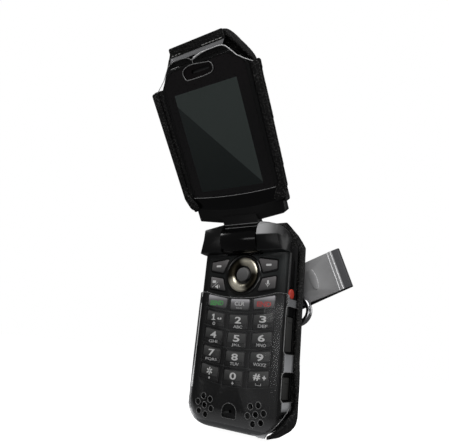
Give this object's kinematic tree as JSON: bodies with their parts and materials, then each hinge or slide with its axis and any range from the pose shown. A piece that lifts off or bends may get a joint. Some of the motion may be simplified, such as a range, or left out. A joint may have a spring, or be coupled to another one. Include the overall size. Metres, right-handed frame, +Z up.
{
  "type": "clamshell phone in carrying case",
  "caption": "Clamshell handheld with keypad and screen in a leather and clear vinyl carrying case with a swivel belt clip.",
  "frame": {"origin": "on the belt clip's stud axis, at the belt side of the clip's front leaf", "axes": "+Z up along the open base, -Y out of the keypad, +Y towards the belt, +X to the right of someone facing the keypad"},
  "size_m": [0.0784, 0.0849, 0.1703],
  "materials": {
    "case": "near-black glossy moulded plastic",
    "rear": "black matt plastic",
    "key": "satin graphite grey, moulded",
    "gold": "champagne gold metallised ring",
    "red": "orange red satin plastic",
    "rubber": "black soft rubber",
    "vinyl": "clear flexible vinyl",
    "leather": "black pebbled leather with dark stitching",
    "glass": "black polished window",
    "screen": "dark slate display",
    "board": "green circuit board",
    "battery": "grey battery wrap",
    "film": "dark film and moulding",
    "steel": "plain steel",
    "nickel": "satin nickel plated spring steel",
    "dark_metal": "black nickel plated wire"
  },
  "bodies": {
    "base": {"base_front_case": "case", "base_rear_case": "rear", "battery_cover": "rear", "battery": "battery", "main_board": "board", "keypad_dome_sheet": "film", "loudspeaker_left": "steel", "loudspeaker_right": "steel", "microphone": "steel", "vibration_motor": "steel", "antenna": "film", "usb_connector": "steel", "headset_jack": "film", "hinge_cartridge": "steel", "hinge_pin": "steel", "base_vinyl_front": "vinyl", "base_leather_back": "leather", "back_patch": "leather", "clip_stud": "steel", "d_ring_tab": "leather"},
    "lid": {"lid_front_case": "case", "lid_rear_case": "rear", "display_window": "glass", "display_panel": "screen", "lid_board": "board", "earpiece": "steel", "camera_module": "film", "lid_vinyl_window": "vinyl", "lid_leather_back": "leather", "lid_band_left": "leather", "lid_band_right": "leather", "lid_top_strap": "leather"},
    "key_1_cap": {"key_1": "key"},
    "key_2_cap": {"key_2": "key"},
    "key_3_cap": {"key_3": "key"},
    "key_4_cap": {"key_4": "key"},
    "key_5_cap": {"key_5": "key"},
    "key_6_cap": {"key_6": "key"},
    "key_7_cap": {"key_7": "key"},
    "key_8_cap": {"key_8": "key"},
    "key_9_cap": {"key_9": "key"},
    "key_star_cap": {"key_star": "key"},
    "key_0_cap": {"key_0": "key"},
    "key_hash_cap": {"key_hash": "key"},
    "key_send_cap": {"key_send": "key"},
    "key_clear_cap": {"key_clear": "key"},
    "key_end_cap": {"key_end": "key"},
    "soft_key_left_cap": {"soft_key_left": "key"},
    "soft_key_right_cap": {"soft_key_right": "key"},
    "function_key_left_cap": {"function_key_left": "key"},
    "function_key_right_cap": {"function_key_right": "key"},
    "navigator": {"nav_ring": "gold"},
    "ok_button": {"ok_key": "key"},
    "side_button": {"side_key": "red"},
    "volume_rocker_cap": {"volume_rocker": "key"},
    "upper_port_cover": {"port_cover_upper": "rubber"},
    "lower_port_cover": {"port_cover_lower": "rubber"},
    "clip": {"belt_clip": "nickel"},
    "ring": {"d_ring": "dark_metal"}
  },
  "joints": [
    {"name": "lid_hinge", "type": "hinge", "parent": "base", "child": "lid", "pos_m": [0, -0.0223, 0.0273], "axis": [1, 0, 0], "range_deg": [0, 142.7]},
    {"name": "key_1_press", "type": "slide", "parent": "base", "child": "key_1_cap", "axis": [0, 1, 0], "range_m": [0, 0.0004], "stiffness_N_per_m": 400},
    {"name": "key_2_press", "type": "slide", "parent": "base", "child": "key_2_cap", "axis": [0, 1, 0], "range_m": [0, 0.0004], "stiffness_N_per_m": 400},
    {"name": "key_3_press", "type": "slide", "parent": "base", "child": "key_3_cap", "axis": [0, 1, 0], "range_m": [0, 0.0004], "stiffness_N_per_m": 400},
    {"name": "key_4_press", "type": "slide", "parent": "base", "child": "key_4_cap", "axis": [0, 1, 0], "range_m": [0, 0.0004], "stiffness_N_per_m": 400},
    {"name": "key_5_press", "type": "slide", "parent": "base", "child": "key_5_cap", "axis": [0, 1, 0], "range_m": [0, 0.0004], "stiffness_N_per_m": 400},
    {"name": "key_6_press", "type": "slide", "parent": "base", "child": "key_6_cap", "axis": [0, 1, 0], "range_m": [0, 0.0004], "stiffness_N_per_m": 400},
    {"name": "key_7_press", "type": "slide", "parent": "base", "child": "key_7_cap", "axis": [0, 1, 0], "range_m": [0, 0.0004], "stiffness_N_per_m": 400},
    {"name": "key_8_press", "type": "slide", "parent": "base", "child": "key_8_cap", "axis": [0, 1, 0], "range_m": [0, 0.0004], "stiffness_N_per_m": 400},
    {"name": "key_9_press", "type": "slide", "parent": "base", "child": "key_9_cap", "axis": [0, 1, 0], "range_m": [0, 0.0004], "stiffness_N_per_m": 400},
    {"name": "key_star_press", "type": "slide", "parent": "base", "child": "key_star_cap", "axis": [0, 1, 0], "range_m": [0, 0.0004], "stiffness_N_per_m": 400},
    {"name": "key_0_press", "type": "slide", "parent": "base", "child": "key_0_cap", "axis": [0, 1, 0], "range_m": [0, 0.0004], "stiffness_N_per_m": 400},
    {"name": "key_hash_press", "type": "slide", "parent": "base", "child": "key_hash_cap", "axis": [0, 1, 0], "range_m": [0, 0.0004], "stiffness_N_per_m": 400},
    {"name": "key_send_press", "type": "slide", "parent": "base", "child": "key_send_cap", "axis": [0, 1, 0], "range_m": [0, 0.0004], "stiffness_N_per_m": 400},
    {"name": "key_clear_press", "type": "slide", "parent": "base", "child": "key_clear_cap", "axis": [0, 1, 0], "range_m": [0, 0.0004], "stiffness_N_per_m": 400},
    {"name": "key_end_press", "type": "slide", "parent": "base", "child": "key_end_cap", "axis": [0, 1, 0], "range_m": [0, 0.0004], "stiffness_N_per_m": 400},
    {"name": "soft_key_left_press", "type": "slide", "parent": "base", "child": "soft_key_left_cap", "axis": [0, 1, 0], "range_m": [0, 0.0004], "stiffness_N_per_m": 400},
    {"name": "soft_key_right_press", "type": "slide", "parent": "base", "child": "soft_key_right_cap", "axis": [0, 1, 0], "range_m": [0, 0.0004], "stiffness_N_per_m": 400},
    {"name": "function_key_left_press", "type": "slide", "parent": "base", "child": "function_key_left_cap", "axis": [0, 1, 0], "range_m": [0, 0.0004], "stiffness_N_per_m": 400},
    {"name": "function_key_right_press", "type": "slide", "parent": "base", "child": "function_key_right_cap", "axis": [0, 1, 0], "range_m": [0, 0.0004], "stiffness_N_per_m": 400},
    {"name": "ok_key_press", "type": "slide", "parent": "base", "child": "ok_button", "axis": [0, 1, 0], "range_m": [0, 0.00025], "stiffness_N_per_m": 400},
    {"name": "navigator_rock", "type": "hinge", "parent": "base", "child": "navigator", "pos_m": [0, -0.0199, 0.0103], "axis": [1, 0, 0], "range_deg": [-1.5, 1.5], "stiffness_Nm_per_rad": 0.02},
    {"name": "side_key_press", "type": "slide", "parent": "base", "child": "side_button", "axis": [-1, 0, 0], "range_m": [0, 0.0004], "stiffness_N_per_m": 400},
    {"name": "volume_rock", "type": "hinge", "parent": "base", "child": "volume_rocker_cap", "pos_m": [-0.0234, -0.0163, -0.0147], "axis": [0, 1, 0], "range_deg": [-1.5, 1.5], "stiffness_Nm_per_rad": 0.02},
    {"name": "upper_cover_hinge", "type": "hinge", "parent": "base", "child": "upper_port_cover", "pos_m": [0.0242, -0.0163, -0.0237], "axis": [0, 1, 0], "range_deg": [0, 90]},
    {"name": "lower_cover_hinge", "type": "hinge", "parent": "base", "child": "lower_port_cover", "pos_m": [0.0242, -0.0163, -0.0439], "axis": [0, 1, 0], "range_deg": [0, 90]},
    {"name": "clip_swivel", "type": "hinge", "parent": "base", "child": "clip", "pos_m": [0, 0, 0], "axis": [0, 1, 0], "continuous": true},
    {"name": "ring_swing", "type": "hinge", "parent": "base", "child": "ring", "pos_m": [0.022, -0.0038, 0.002], "axis": [1, 0, 0], "range_deg": [-4.5, 4.5]}
  ]
}
